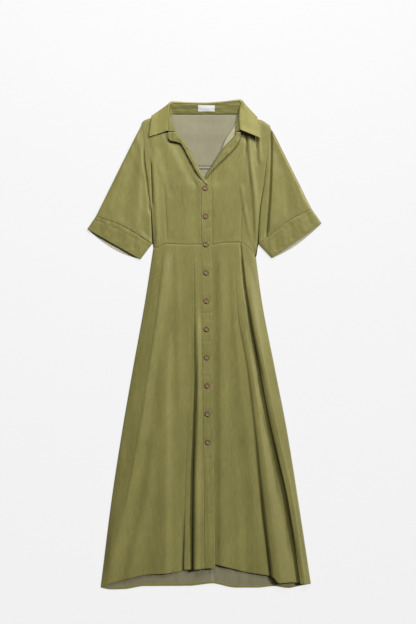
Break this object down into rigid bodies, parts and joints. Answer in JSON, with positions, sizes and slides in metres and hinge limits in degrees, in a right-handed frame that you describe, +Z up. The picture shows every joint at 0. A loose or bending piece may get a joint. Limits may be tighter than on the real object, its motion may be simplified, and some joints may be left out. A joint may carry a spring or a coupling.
{
  "type": "shirt dress",
  "caption": "Shirt dress laid flat, with an open collared neck, turned-out front edges, short cuffed sleeves, a button front and a long flared skirt with soft folds.",
  "frame": {"origin": "centre of the bounding box at the height of the surface that the dress lies on", "axes": "+X across the dress towards the wearer's left, +Y from hem to collar, +Z up from the surface, out of the dress's front"},
  "size_m": [0.6342, 1.3201, 0.0167],
  "materials": {
    "cloth": "olive satin, matt on its wrong side",
    "label": "plain white woven tape",
    "button": "polished brown horn look"
  },
  "bodies": {
    "root": {"front_bodice_right": "cloth", "front_bodice_left": "cloth", "back_yoke": "cloth", "back_bodice": "cloth", "button_band_over": "cloth", "button_band_under": "cloth", "collar_stand": "cloth", "collar_fall": "cloth", "sleeve_right": "cloth", "sleeve_left": "cloth", "cuff_right": "cloth", "cuff_left": "cloth", "front_skirt_right": "cloth", "front_skirt_left": "cloth", "back_skirt_right": "cloth", "back_skirt_left": "cloth", "neck_label": "label", "button_01": "button", "button_02": "button", "button_03": "button", "button_04": "button", "button_05": "button", "button_06": "button", "button_07": "button", "button_08": "button", "button_09": "button", "button_10": "button"}
  },
  "joints": []
}
